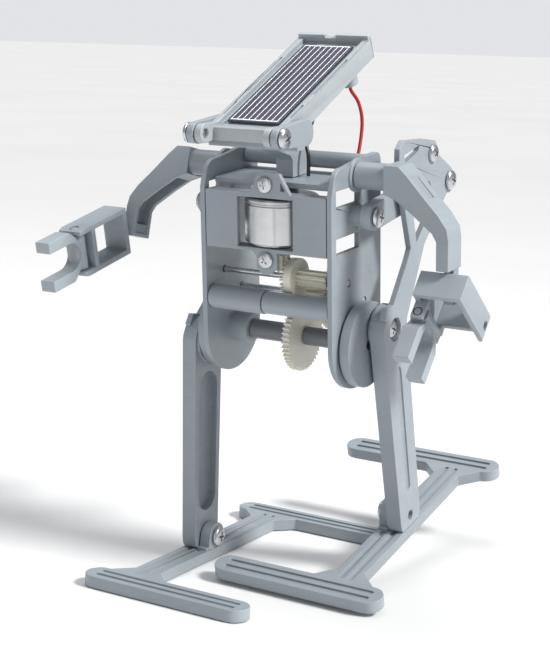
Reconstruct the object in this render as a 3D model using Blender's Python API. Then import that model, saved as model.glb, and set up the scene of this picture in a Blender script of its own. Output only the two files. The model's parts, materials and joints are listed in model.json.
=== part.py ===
"""A small walking robot from a construction kit, driven by a solar cell, in metres, +Z up.

The torso frame used for the dimensions below is in millimetres: X to the robot's left, Y to its back,
Z up, and its origin is at the middle of the lower front edge of the motor cover. The whole torso frame
leans forward by LEAN on its planted right foot, whose sole is the ground.
"""

import math

import bmesh
import bpy
from mathutils import Matrix, Vector

MM = 0.001
GAP = 0.3
FILL_TURN = 0.37

# Stance: the torso leans forward until the right sole is level
LEAN = math.radians(5.2)
RIGHT_FOOT_PITCH = -LEAN
SOLE_DROP = 8.0

# Side plates
PLATE_IN = 22.7
PLATE_OUT = 24.5
PLATE_DEPTH = 33.3
PLATE_FOOT_Z = -30.5
PLATE_BOTTOM_RISE = 15.5

# Motor cover
COVER_HALF = 22.4
COVER_HEIGHT = 19.0
COVER_DEPTH = 5.3
WALL = 1.7
WINDOW_HALF = 10.3
CAN_R = 12.2

# Drive train axes, as (y, z), with their tooth counts
MODULE = 0.5
CRANK = (17.1, -31.1)
CROWN = (11.2, -10.0)
CRANK_TEETH = 46
COMPOUND_TEETH = 42
PINION_TEETH = 10
CROWN_TEETH = 24
MOTOR_TEETH = 8
MESH_SLACK = 0.1
SHAFT_R = 1.0
AXLE_R = 1.5

# Walking linkage
DISC_R = 14.15
DISC_IN = 25.3
DISC_OUT = 28.7
THROW = 7.2
THROW_ANGLE = math.radians(39.0)
ROCKER_PIVOT = (14.6, 11.7)
LEFT_LEVER_END = (62.5, 16.5)
LEFT_LEVER_TIP = (49.0, 27.5)
LEFT_ANKLE = (34.5, -94.8)
LEG_SWING = math.radians(-13.6)
LEFT_FOOT_PITCH = RIGHT_FOOT_PITCH - LEG_SWING
LEG_IN = 30.0
LEG_OUT = 35.4
LEVER_IN = 33.4
ROCKER_IN = 28.6
ROCKER_OUT = 32.4

# Feet
FOOT_X = 30.5
FOOT_THICK = 4.0
BAR_WIDTH = 9.8
FRONT_BAR = 45.1
REAR_BAR = 49.1
BAR_OUT = 16.7
BAR_IN = 45.7
REAR_OUT = 15.9

# Arms, hands and claws
SHOULDER = (16.2, 24.4)
RIGHT_ARM_SWING = math.radians(-17.0)
ARM_FRONT = 4.9
RING_LONG = 19.5
RING_HALF = 8.2
RING_DEPTH = 9.0
RING_WALL = 1.9
EAR_LONG = 6.0
CLAW_LONG = 20.0
CLAW_THICK = 5.6
BARREL_R = 3.1

# Solar panel
HINGE = (-15.7, 39.6)
PANEL_TILT = math.radians(21.9)
PANEL_FRONT = (-11.9, 41.0)
PANEL_HALF = 13.4
PANEL_LONG = 64.0

GREY = ((0.42, 0.46, 0.50, 1.0), 0.42, 0.0)
DARK_GREY = ((0.20, 0.23, 0.26, 1.0), 0.45, 0.0)
IVORY = ((0.86, 0.84, 0.76, 1.0), 0.4, 0.0)
STEEL = ((0.70, 0.71, 0.72, 1.0), 0.28, 1.0)
CELL_BLUE = ((0.03, 0.04, 0.12, 1.0), 0.15, 0.0)
RED = ((0.55, 0.04, 0.04, 1.0), 0.4, 0.0)
BLACK = ((0.02, 0.02, 0.02, 1.0), 0.4, 0.0)

PLANES = {
    "x": Matrix(((0, 0, 1, 0), (1, 0, 0, 0), (0, 1, 0, 0), (0, 0, 0, 1))),
    "y": Matrix(((1, 0, 0, 0), (0, 0, -1, 0), (0, 1, 0, 0), (0, 0, 0, 1))),
    "z": Matrix.Identity(4),
}


def clear_scene():
    for item in list(bpy.data.objects):
        bpy.data.objects.remove(item, do_unlink=True)


def new_collection(name):
    collection = bpy.data.collections.new(name)
    bpy.context.scene.collection.children.link(collection)
    return collection


def weld(mesh):
    shape = bmesh.new()
    shape.from_mesh(mesh)
    bmesh.ops.remove_doubles(shape, verts=shape.verts, dist=0.00001 * 0.5)
    bmesh.ops.recalc_face_normals(shape, faces=shape.faces)
    shape.to_mesh(mesh)
    shape.free()
    return mesh


def evaluated(thing):
    """The welded mesh of an object with its modifiers or curve settings; the object is removed."""
    bpy.context.view_layer.update()
    graph = bpy.context.evaluated_depsgraph_get()
    mesh = bpy.data.meshes.new_from_object(thing.evaluated_get(graph))
    bpy.data.objects.remove(thing, do_unlink=True)
    return weld(mesh)


def temporary(data):
    thing = bpy.data.objects.new("temporary", data)
    bpy.context.scene.collection.objects.link(thing)
    return thing


def flat(outlines, low, high, plane="x"):
    """A flat plate from closed outlines, the first the outside and the others holes.

    The outline is filled at an odd angle, so that no two corners stand level in the fill.
    """
    curve = bpy.data.curves.new("outline", "CURVE")
    curve.dimensions = "2D"
    curve.fill_mode = "BOTH"
    curve.extrude = (high - low) / 2 * MM
    turn = Matrix.Rotation(FILL_TURN, 2)
    for outline in outlines:
        spline = curve.splines.new("POLY")
        spline.points.add(len(outline) - 1)
        for point, (a, b) in zip(spline.points, outline):
            point.co = (*(turn @ Vector((a * MM, b * MM))), 0, 1)
        spline.use_cyclic_u = True
    mesh = evaluated(temporary(curve))
    mesh.transform(Matrix.Rotation(-FILL_TURN, 4, "Z"))
    middle = (low + high) / 2 * MM
    offset = Matrix.Translation((0, 0, -middle if plane == "y" else middle))
    mesh.transform(PLANES[plane] @ offset)
    return mesh


def rod(start, end, radius, sides=16):
    """A round rod between two points in millimetres."""
    first, last = Vector(start) * MM, Vector(end) * MM
    run = last - first
    turn = run.to_track_quat("Z", "Y").to_matrix().to_4x4()
    shape = bmesh.new()
    bmesh.ops.create_cone(
        shape, cap_ends=True, segments=sides, radius1=radius * MM, radius2=radius * MM,
        depth=run.length, matrix=Matrix.Translation((first + last) / 2) @ turn)
    mesh = bpy.data.meshes.new("rod")
    shape.to_mesh(mesh)
    shape.free()
    return mesh


def block(low, high):
    """A box between two corners in millimetres."""
    low, high = Vector(low) * MM, Vector(high) * MM
    size = high - low
    shape = bmesh.new()
    bmesh.ops.create_cube(
        shape, size=1.0, matrix=Matrix.Translation((low + high) / 2) @ Matrix.Diagonal((*size, 1)))
    mesh = bpy.data.meshes.new("block")
    shape.to_mesh(mesh)
    shape.free()
    return mesh


def boolean(base, other, operation):
    body, tool = temporary(base), temporary(other)
    step = body.modifiers.new("step", "BOOLEAN")
    step.operation = operation
    step.object = tool
    mesh = evaluated(body)
    bpy.data.objects.remove(tool, do_unlink=True)
    return mesh


def join(base, *others):
    for other in others:
        base = boolean(base, other, "UNION")
    return base


def cut(base, *others):
    for other in others:
        base = boolean(base, other, "DIFFERENCE")
    return base


def mirrored(mesh):
    """A copy on the robot's other side."""
    copy = mesh.copy()
    copy.transform(Matrix.Scale(-1, 4, (1, 0, 0)))
    copy.flip_normals()
    return copy


def for_side(side, mesh):
    return mesh if side > 0 else mirrored(mesh)


def material_for(name, finish):
    colour, roughness, metallic = finish
    material = bpy.data.materials.new(name + "_finish")
    material.use_nodes = True
    shader = material.node_tree.nodes["Principled BSDF"]
    shader.inputs["Base Color"].default_value = colour
    shader.inputs["Roughness"].default_value = roughness
    shader.inputs["Metallic"].default_value = metallic
    material.diffuse_color = colour
    return material


class Robot:
    """The assembly: every part hangs on one empty that leans with the torso."""

    def __init__(self):
        self.parts = new_collection("walking_robot")
        self.torso = bpy.data.objects.new("torso_frame", None)
        self.parts.objects.link(self.torso)
        self.torso.rotation_euler = (LEAN, 0, 0)
        right_ankle = Vector((0, *right_of(LEFT_ANKLE))) * MM
        turned = Matrix.Rotation(LEAN, 3, "X") @ right_ankle
        self.torso.location = (-BODY_CENTRE[0] * MM, -BODY_CENTRE[1] * MM, SOLE_DROP * MM - turned.z)

    def add(self, name, mesh, finish, pivot=(0, 0, 0)):
        """Names a part and puts its origin on its pivot, given in torso millimetres."""
        place = Vector(pivot) * MM
        mesh.transform(Matrix.Translation(-place))
        mesh.name = name
        mesh.materials.clear()
        mesh.materials.append(material_for(name, finish))
        mesh.shade_smooth()
        mesh.set_sharp_from_angle(angle=math.radians(30))
        thing = bpy.data.objects.new(name, mesh)
        thing.parent = self.torso
        thing.location = place
        self.parts.objects.link(thing)
        return thing


def arc(centre, radius, start, end, count):
    """Points on an arc, in degrees from the first axis to the second."""
    angles = [math.radians(start + (end - start) * k / count) for k in range(count + 1)]
    return [(centre[0] + radius * math.cos(a), centre[1] + radius * math.sin(a)) for a in angles]


def circle(centre, radius, count=16):
    return arc(centre, radius, 0, 360, count)[:-1]


def rectangle(low_a, low_b, high_a, high_b):
    return [(low_a, low_b), (high_a, low_b), (high_a, high_b), (low_a, high_b)]


def stadium(start, end, radius_start, radius_end, count=8):
    """A link outline: two round ends joined by straight sides."""
    heading = math.degrees(math.atan2(end[1] - start[1], end[0] - start[0]))
    tail = arc(start, radius_start, heading + 90, heading + 270, count)
    nose = arc(end, radius_end, heading - 90, heading + 90, count)
    return tail + nose


def turned_about(point, centre, angle):
    a, b = point[0] - centre[0], point[1] - centre[1]
    c, s = math.cos(angle), math.sin(angle)
    return (centre[0] + c * a - s * b, centre[1] + s * a + c * b)


def crank_pin(side):
    angle = THROW_ANGLE if side > 0 else THROW_ANGLE + math.pi
    return (CRANK[0] + THROW * math.cos(angle), CRANK[1] + THROW * math.sin(angle))


def right_of(point):
    """Where a point of the left leg lies on the right leg, as (y, z)."""
    left, right = crank_pin(1), crank_pin(-1)
    moved = (point[0] - left[0] + right[0], point[1] - left[1] + right[1])
    return turned_about(moved, right, LEG_SWING)


def on_leg(side, point):
    return point if side > 0 else right_of(point)


def pose_leg(side, mesh):
    """Carries a left-leg mesh to its side, turned and moved with that side's crank pin."""
    if side > 0:
        return mesh
    mesh = mirrored(mesh)
    left, right = crank_pin(1), crank_pin(-1)
    to_pin = Matrix.Translation(Vector((0, *left)) * -MM)
    back = Matrix.Translation(Vector((0, *right)) * MM)
    mesh.transform(back @ Matrix.Rotation(LEG_SWING, 4, "X") @ to_pin)
    return mesh


SIDES = (("left", 1), ("right", -1))
BODY_CENTRE = (0.35, 29.35)


def plate_outline():
    middle = PLATE_DEPTH / 2
    bottom = [
        (middle + middle * math.cos(a), PLATE_FOOT_Z + PLATE_BOTTOM_RISE * math.sin(a))
        for a in [math.pi + math.pi * k / 20 for k in range(21)]]
    top_back = arc((30.3, 26.8), 3.0, 0, 90, 4)
    top_front = [(22.0, 29.6), (12.0, 28.4)] + arc((7.0, 22.0), 6.0, 80, 150, 4) + [(0.0, 19.4)]
    return bottom + top_back + top_front


def side_plate(compound):
    """The left plate, with its windows, shaft holes, rocker boss, shoulder peg and inner boss."""
    windows = [rectangle(3.0, 15.6, 18.0, 21.0), rectangle(3.0, 0.7, 18.0, 5.7)]
    holes = [circle(CRANK, AXLE_R + GAP), circle(CROWN, SHAFT_R + GAP, 12)]
    holes.append(circle(compound, SHAFT_R + GAP, 12))
    plate = flat([plate_outline()] + windows + holes, PLATE_IN, PLATE_OUT)
    rocker_boss = flat([circle(ROCKER_PIVOT, 3.4)], PLATE_OUT - 0.4, ROCKER_IN - GAP)
    rocker_hole = rod((25.0, *ROCKER_PIVOT), (ROCKER_IN + 1, *ROCKER_PIVOT), 1.8)
    collar = flat([circle(SHOULDER, 5.5, 24)], PLATE_OUT - 0.4, 25.4)
    peg = rod((PLATE_IN + 0.5, *SHOULDER), (31.0, *SHOULDER), 2.4)
    band = flat([rectangle(16.2, 6.5, 18.0, 15.0)], PLATE_IN + 0.4, 25.3)
    return cut(join(plate, rocker_boss, collar, peg, band), rocker_hole)


def inner_boss():
    """The deep bearing boss inside the right plate, round the crank axle."""
    return flat([circle(CRANK, 5.0, 20), circle(CRANK, AXLE_R + GAP)], 15.5, PLATE_IN + 0.4)


def cover():
    """The motor cover: a shallow tray with a window and two screw lugs."""
    outline = [
        (-COVER_HALF, 0), (-5.0, 0), (-3.2, -2.0), (-3.2, -5.6)]
    outline += arc((0.2, -4.2), 3.4, 200, 340, 5)
    outline += [(4.4, -5.6), (4.4, 0), (COVER_HALF, 0), (COVER_HALF, COVER_HEIGHT)]
    outline += [(9.5, COVER_HEIGHT), (5.6, 25.6), (3.6, 26.0)]
    outline += arc((0.0, 22.6), 3.6, 75, 150, 4)
    outline += [(-4.2, 21.0), (-6.0, COVER_HEIGHT), (-COVER_HALF, COVER_HEIGHT)]
    window = rectangle(-WINDOW_HALF, 1.2, WINDOW_HALF, 17.5)
    holes = [circle((0.4, 21.9), 1.5, 12), circle((0.4, -2.6), 1.6, 12)]
    gusset_hole = [(6.0, 20.2), (7.6, 20.2), (6.0, 22.9)]
    face = flat([outline, window, gusset_hole] + holes, 0, WALL, "y")
    rim = rectangle(-COVER_HALF, 0, COVER_HALF, COVER_HEIGHT)
    inside = rectangle(-COVER_HALF + WALL, 1.3, COVER_HALF - WALL, COVER_HEIGHT - 1.3)
    skirt = flat([rim, inside], WALL - 0.3, COVER_DEPTH, "y")
    slot = block((COVER_HALF - 2.5, 2.4, 3.0), (COVER_HALF + 1, 3.6, 16.0))
    return cut(join(face, skirt), slot)


def gear_outline(axis, teeth, phase):
    """A spur gear outline with slim, tapered teeth; a tooth stands at the phase angle."""
    pitch_r = MODULE * teeth / 2
    root, tip = pitch_r - 0.62, pitch_r + 0.42
    step = 2 * math.pi / teeth
    points = []
    for k in range(teeth):
        middle = phase + k * step
        for radius, width in ((root, 0.86), (tip, 0.36)):
            points.append((radius, middle - width / 2 / radius))
        points.append((tip, middle + 0.36 / 2 / tip))
        points.append((root, middle + 0.86 / 2 / root))
    return [(axis[0] + r * math.cos(a), axis[1] + r * math.sin(a)) for r, a in points]


def meshed_phase(axis, teeth, phase, mate, mate_teeth):
    """The phase that puts a mate's gaps on this gear's teeth."""
    towards = math.atan2(mate[1] - axis[1], mate[0] - axis[0])
    arc_here = (phase - towards) * teeth / mate_teeth
    return towards + math.pi - arc_here - math.pi / mate_teeth


def compound_axis():
    """Where the compound gear meshes with both the crown's pinion and the crank gear."""
    reach_crown = MODULE * (COMPOUND_TEETH + PINION_TEETH) / 2 + MESH_SLACK
    reach_crank = MODULE * (CRANK_TEETH + PINION_TEETH) / 2 + MESH_SLACK
    gap = Vector(CRANK) - Vector(CROWN)
    along = (reach_crown ** 2 - reach_crank ** 2 + gap.length ** 2) / (2 * gap.length)
    aside = math.sqrt(reach_crown ** 2 - along ** 2)
    unit = gap.normalized()
    normal = Vector((-unit.y, unit.x))
    return tuple(Vector(CROWN) + unit * along + normal * aside)


def crown_gear(phase):
    """A contrate gear with teeth towards -X, and its long pinion in one moulding."""
    face, tip, floor = 6.3, 2.15, 3.6
    disc = rod((floor, *CROWN), (face, *CROWN), 6.4, 32)
    step = 2 * math.pi / CROWN_TEETH
    for k in range(CROWN_TEETH):
        middle = k * step + math.pi / 2
        half_in, half_out = 0.5 / 5.0 / 2, 0.62 / 6.2 / 2
        sector = [
            (CROWN[0] + r * math.cos(a), CROWN[1] + r * math.sin(a))
            for r, a in ((5.0, middle - half_in), (6.2, middle - half_out),
                         (6.2, middle + half_out), (5.0, middle + half_in))]
        disc = join(disc, flat([sector], tip, floor + 0.3))
    pinion = flat([gear_outline(CROWN, PINION_TEETH, phase)], face - 0.3, 17.0)
    return cut(join(disc, pinion), rod((0, *CROWN), (20, *CROWN), SHAFT_R + GAP, 12))


def motor_pinion():
    """The pinion on the motor's shaft, its axis upright; a tooth stands midway between crown teeth."""
    outline = gear_outline((0, CROWN[0]), MOTOR_TEETH, math.pi / MOTOR_TEETH)
    teeth = flat([outline], -8.4, -3.0, "z")
    return join(teeth, rod((0, CROWN[0], -3.5), (0, CROWN[0], 1.3), SHAFT_R, 12))


def compound_gear(axis, large_phase, small_phase):
    large = flat([gear_outline(axis, COMPOUND_TEETH, large_phase)], 12.8, 15.4)
    small = flat([gear_outline(axis, PINION_TEETH, small_phase)], 1.2, 13.1)
    return cut(join(large, small), rod((0, *axis), (20, *axis), SHAFT_R + GAP, 12))


def crank_gear(phase):
    return flat([gear_outline(CRANK, CRANK_TEETH, phase), circle(CRANK, AXLE_R + GAP)], 2.4, 4.9)


def drive_train(robot, compound):
    crank_phase = 0.0
    small = meshed_phase(CRANK, CRANK_TEETH, crank_phase, compound, PINION_TEETH)
    pinion = meshed_phase(compound, COMPOUND_TEETH, 0.0, CROWN, PINION_TEETH)
    robot.add("crank_gear", crank_gear(crank_phase), IVORY, (0, *CRANK))
    robot.add("compound_gear", compound_gear(compound, 0.0, small), IVORY, (0, *compound))
    robot.add("crown_gear", crown_gear(pinion), IVORY, (0, *CROWN))
    robot.add("motor_pinion", motor_pinion(), IVORY, (0, CROWN[0], 0))
    crown_shaft = rod((-24.2, *CROWN), (24.2, *CROWN), SHAFT_R, 12)
    compound_shaft = rod((-24.2, *compound), (24.2, *compound), SHAFT_R, 12)
    robot.add("crown_shaft", crown_shaft, STEEL, (0, *CROWN))
    robot.add("compound_shaft", compound_shaft, STEEL, (0, *compound))
    axle = rod((-DISC_OUT + 0.4, *CRANK), (DISC_OUT - 0.4, *CRANK), AXLE_R)
    robot.add("crank_axle", axle, STEEL, (0, *CRANK))
    left_sleeve = flat([circle(CRANK, 3.1, 20), circle(CRANK, AXLE_R + GAP)], 5.2, 22.3)
    right_sleeve = flat([circle(CRANK, 3.3, 20), circle(CRANK, AXLE_R + GAP)], -15.2, 2.1)
    robot.add("left_axle_sleeve", left_sleeve, DARK_GREY, (0, *CRANK))
    robot.add("right_axle_sleeve", right_sleeve, DARK_GREY, (0, *CRANK))


def pan_screw(tip, seat, top, place, shank_r=1.3, head_r=3.25):
    """A pan-head screw along X at (y, z): shank from tip to seat, head from seat to top."""
    direction = 1 if top > seat else -1
    shank = rod((tip, *place), (seat + 0.3 * direction, *place), shank_r, 12)
    edge = seat + (top - seat) * 0.6
    head = rod((seat, *place), (edge, *place), head_r, 20)
    crown = rod((edge - 0.2 * direction, *place), (top, *place), head_r * 0.8, 20)
    return join(head, crown, shank)


def crank_disc(side):
    """One crank disc with its hub bore and the pin that carries the leg."""
    pin = crank_pin(side)
    disc = flat([circle(CRANK, DISC_R, 40), circle(CRANK, AXLE_R + GAP)], DISC_IN, DISC_OUT)
    post = rod((DISC_OUT - 0.4, *pin), (33.0, *pin), 3.5, 20)
    bore = rod((29.0, *pin), (34.0, *pin), 1.6, 12)
    return for_side(side, cut(join(disc, post), bore))


def leg_parts():
    """The left leg: a channel bar with a broad upper lever plate and an ankle bore."""
    pin, ankle = crank_pin(1), LEFT_ANKLE
    bar = stadium(pin, ankle, 8.2, 7.2, 10)
    lever = [
        (15.0, -22.0), (16.5, -18.2), (21.2, -18.2), (31.6, -5.1), (33.6, -1.8), (29.4, 11.0),
        (24.8, 24.9), (25.1, 31.9), (28.1, 34.4), (42.8, 33.1)]
    lever += arc(LEFT_LEVER_TIP, 4.6, 60, -10, 4)
    lever += arc(LEFT_LEVER_END, 4.4, 60, -110, 7)
    lever += [(44.0, -2.0), (31.5, -24.0), (30.2, -30.0)]
    slot = [(29.2, 27.0), (38.6, 29.6), (39.6, 31.4), (28.6, 29.6)]
    window = [(38.0, -0.5), (52.5, 12.0), (47.0, 18.5), (33.6, 16.0)]
    holes = [circle(LEFT_LEVER_END, 1.7, 12), circle(LEFT_LEVER_TIP, 1.7, 12)]
    outer = flat([lever, slot, window] + holes, LEVER_IN, LEG_OUT)
    body = flat([bar], LEG_IN, LEG_OUT)
    pocket = stadium(between(pin, ankle, 0.24), between(pin, ankle, 0.80), 5.6, 5.2, 6)
    channel = flat([pocket], LEG_IN - 1, 32.6)
    groove = stadium(between(pin, ankle, 0.22), between(pin, ankle, 0.84), 1.7, 1.5, 4)
    outer_groove = flat([groove], 34.8, LEG_OUT + 1)
    boss = flat([circle(pin, 7.4, 24)], DISC_OUT + 0.4, LEG_IN + 0.3)
    bores = flat([circle(pin, 3.9, 20)], 28, 37)
    ankle_bore = flat([circle(ankle, 1.7, 12)], 28, 37)
    below = block((28, -12, -14), (37, 12, -(SOLE_DROP - FOOT_THICK) + GAP))
    to_ankle = Matrix.Translation(Vector((0, *ankle)) * MM)
    below.transform(to_ankle @ Matrix.Rotation(LEFT_FOOT_PITCH, 4, "X"))
    return cut(join(body, outer, boss), channel, outer_groove, bores, ankle_bore, below)


def between(start, end, share):
    return (start[0] + (end[0] - start[0]) * share, start[1] + (end[1] - start[1]) * share)


def foot_mesh():
    """The left foot in its own frame: ankle at the origin, the stem along Y, two cross bars."""
    half, top = BAR_WIDTH / 2, -(SOLE_DROP - FOOT_THICK)
    front, rear = -FRONT_BAR, REAR_BAR
    fillet = 6.0
    outline = [(-half, front + half + fillet), (-half, rear - half - fillet)]
    outline += [(-half - fillet, rear - half)]
    outline += arc((-BAR_IN + half, rear), half, 270, 90, 8)
    outline += arc((REAR_OUT - half, rear), half, 90, -90, 8)
    outline += [(half + fillet, rear - half), (half, rear - half - fillet)]
    outline += [(half, front + half + fillet), (half + fillet, front + half)]
    outline += arc((BAR_OUT - half, front), half, 90, -90, 8)
    outline += arc((-BAR_IN + half, front), half, 270, 90, 8)
    outline += [(-half - fillet, front + half)]
    slab = flat([outline], -SOLE_DROP, top, "z")
    inset = 1.5
    grooves = []
    for place, outer in ((front, BAR_OUT), (rear, REAR_OUT)):
        for shift in (-1, 1):
            track = place + shift * 1.75
            lane = stadium((-BAR_IN + half, track), (outer - half, track), 0.85, 0.85, 4)
            grooves.append(flat([lane], top - 0.7, top + 1, "z"))
    for shift in (-1, 1):
        lane = stadium(
            (shift * 1.75, front + half + inset), (shift * 1.75, rear - half - inset), 0.85, 0.85, 4)
        grooves.append(flat([lane], top - 0.7, top + 1, "z"))
    cheek = arc((0, 0), 4.6, 0, 180, 8) + [(-5.2, top - 1.2), (5.2, top - 1.2)]
    lug = flat([cheek], 25.7 - FOOT_X, 29.6 - FOOT_X)
    base = block((-4.6, -6.4, top - 1.5), (-0.8, 6.4, top + 0.9))
    peg = rod((29.0 - FOOT_X, 0, 0), (34.0 - FOOT_X, 0, 0), 1.35, 12)
    clearance = rod((20.0 - FOOT_X, 0, 0), (28.6 - FOOT_X, 0, 0), 1.6, 12)
    return cut(join(cut(slab, *grooves), lug, base, peg), clearance)


def arm_mesh(side):
    """The left arm hanging straight down: shoulder tube, bent channel body, wrist end."""
    back = SHOULDER[0] + ARM_FRONT
    front = SHOULDER[0] - ARM_FRONT
    tube = rod((25.7, *SHOULDER), (38.4, *SHOULDER), 4.35, 24)
    crest = [(36.5, 28.9), (41.7, 28.9), (44.8, 26.0), (50.6, 19.6), (55.6, 14.4), (58.4, 10.4),
             (59.0, 7.1), (59.0, -2.9)]
    belly = [(54.8, -2.9), (54.8, 6.2), (53.3, 8.8), (45.7, 14.8), (40.4, 18.4), (36.5, 19.9)]
    body = flat([crest + belly], front, back, "y")
    hollow = [(44.0, 24.4), (49.2, 18.6), (54.2, 13.4), (56.8, 9.6), (57.2, 6.8), (57.2, -1.5),
              (50.0, -1.5), (50.0, 8.0), (40.0, 12.0), (40.0, 17.0), (43.0, 21.0)]
    channel = flat([hollow], front + 1.7, back - 1.7, "y")
    loop = [(44.2, 30.0), (47.0, 30.0), (52.8, 20.5), (50.6, 18.8), (45.4, 24.6)]
    pocket = flat([loop], SHOULDER[0] - 1.8, SHOULDER[0] + 1.8, "y")
    bore = rod((20, *SHOULDER), (31.4, *SHOULDER), 2.7)
    mesh = cut(join(tube, body), channel, pocket, bore)
    if side > 0:
        return join(mesh, block((55.2, 16.4, -14.5), (58.6, 20.2, -1.0)))
    plug = block((55.2, front + 1.2, -2.4), (58.8, back - 1.2, 1.6))
    return join(mesh, plug)


def pose_arm(side, mesh):
    if side > 0:
        return mesh
    mesh = mirrored(mesh)
    centre = Matrix.Translation(Vector((0, *SHOULDER)) * MM)
    mesh.transform(centre @ Matrix.Rotation(RIGHT_ARM_SWING, 4, "X") @ centre.inverted())
    return mesh


def frame_at(origin, long_way, short_way):
    """A matrix whose axes are the hand's long and short ways and their cross product."""
    long_way, short_way = Vector(long_way).normalized(), Vector(short_way).normalized()
    depth_way = long_way.cross(short_way)
    turn = Matrix((long_way, short_way, depth_way)).transposed().to_4x4()
    return Matrix.Translation(Vector(origin) * MM) @ turn


def ring_mesh():
    """The hand bracket flat in its own frame: a deep rectangular ring with two ears."""
    outer = [
        (0, -RING_HALF), (RING_LONG + EAR_LONG - 2, -RING_HALF), (RING_LONG + EAR_LONG, -RING_HALF + 0.6),
        (RING_LONG + EAR_LONG, -RING_HALF + RING_WALL), (RING_LONG, -RING_HALF + RING_WALL),
        (RING_LONG, RING_HALF - RING_WALL), (RING_LONG + EAR_LONG, RING_HALF - RING_WALL),
        (RING_LONG + EAR_LONG, RING_HALF - 0.6), (RING_LONG + EAR_LONG - 2, RING_HALF), (0, RING_HALF)]
    window = rectangle(
        RING_WALL, -RING_HALF + RING_WALL, RING_LONG - RING_WALL, RING_HALF - RING_WALL)
    ring = flat([outer, window], 0, RING_DEPTH, "z")
    pin_line = RING_LONG + GAP + BARREL_R
    middle = RING_DEPTH / 2
    hole = rod((pin_line, -RING_HALF - 1, middle), (pin_line, RING_HALF + 1, middle), 1.6, 12)
    return cut(ring, hole)


def claw_mesh():
    """The claw flat in its own frame: barrel at the origin along Y, jaws towards +X."""
    half, grip = 8.4, 4.7
    outline = [(0, -5.2), (2.5, -5.4), (6.0, -half), (CLAW_LONG - BARREL_R, -half)]
    outline += [(CLAW_LONG - BARREL_R, -grip)]
    outline += arc((6.4, 0), grip, 270, 90, 10)
    outline += [(CLAW_LONG - BARREL_R, grip), (CLAW_LONG - BARREL_R, half), (6.0, half)]
    outline += [(2.5, 5.4), (0, 5.2)]
    jaws = flat([outline], -CLAW_THICK / 2, CLAW_THICK / 2, "z")
    barrel = rod((0, -5.95, 0), (0, 5.95, 0), BARREL_R, 20)
    pins = rod((0, -RING_HALF + 0.3, 0), (0, RING_HALF - 0.3, 0), 1.25, 12)
    recess_outline = [(4.6, -6.9), (6.4, -7.3), (15.6, -7.3), (15.6, -5.9), (7.2, -5.9)]
    mirror = [(a, -b) for a, b in reversed(recess_outline)]
    mesh = join(jaws, barrel, pins)
    for lane in (recess_outline, mirror):
        mesh = cut(mesh, flat([lane], CLAW_THICK / 2 - 0.8, CLAW_THICK, "z"))
    return mesh


def hands(robot):
    """Both hand brackets and claws, each in the attitude it is held in."""
    slope = math.radians(44.0)
    left_long = Vector((0, math.cos(slope), -math.sin(slope)))
    left_depth = Vector((0, -math.sin(slope), -math.cos(slope)))
    left_top = Vector((57.0, 13.4, -3.5))
    ring = ring_mesh()
    left_peg = rod((RING_WALL - 0.4, 0, RING_DEPTH / 2), (3.6, 0, RING_DEPTH / 2), 1.8, 12)
    left_ring = join(ring.copy(), left_peg)
    claw_line = RING_LONG / 2 + 1.8
    claw_height = RING_DEPTH + 0.4 + BARREL_R
    claw_side = -RING_HALF + 1.9
    for shift in (-1, 1):
        first = claw_line + shift * 6.3
        second = claw_line + shift * 8.0
        ear = flat([rectangle(-RING_HALF, RING_DEPTH - 1.0, claw_side + 2.4, claw_height + 2.4)],
                   min(first, second), max(first, second))
        left_ring = join(left_ring, ear)
    left_hole = rod((claw_line - 9, claw_side, claw_height), (claw_line + 9, claw_side, claw_height),
                    1.6, 12)
    left_ring = cut(left_ring, left_hole)
    frame = frame_at(left_top, left_long, (1, 0, 0))
    left_ring.transform(frame)
    wrist = left_top + left_depth * (RING_DEPTH / 2)
    robot.add("left_hand_bracket", left_ring, GREY, wrist)
    claw_at = left_top + left_long * claw_line + left_depth * claw_height
    claw_at.x += claw_side
    left_claw = claw_mesh()
    left_claw.transform(frame_at(claw_at, left_depth, -left_long))
    robot.add("left_claw", left_claw, GREY, claw_at)

    droop = math.radians(8.0)
    right_long = Vector((0, -math.cos(droop), -math.sin(droop)))
    right_short = Vector((0, -math.sin(droop), math.cos(droop)))
    start = Vector((-55.5, 2.2, 1.7))
    right_ring = join(ring, rod((-0.9, -1.0, 2.1), (0.4, -1.0, 2.1), 1.8, 12))
    right_ring.transform(frame_at(start, right_long, right_short))
    right_wrist = start + right_short * -1.0 + Vector((-2.1, 0, 0))
    robot.add("right_hand_bracket", right_ring, GREY, right_wrist)
    pivot = start + Vector((-RING_DEPTH / 2, 0, 0)) + right_long * (RING_LONG + GAP + BARREL_R)
    right_claw = claw_mesh()
    right_claw.transform(frame_at(pivot, right_long, right_short))
    robot.add("right_claw", right_claw, GREY, pivot)


def panel_to_torso():
    place = Vector((0, *PANEL_FRONT)) * MM
    return Matrix.Translation(place) @ Matrix.Rotation(PANEL_TILT, 4, "X")


def hinge_in_panel():
    """The panel hinge line in the panel's own frame, as (along, up)."""
    away = (HINGE[0] - PANEL_FRONT[0], HINGE[1] - PANEL_FRONT[1])
    c, s = math.cos(PANEL_TILT), math.sin(PANEL_TILT)
    return (c * away[0] + s * away[1], -s * away[0] + c * away[1])


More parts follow.
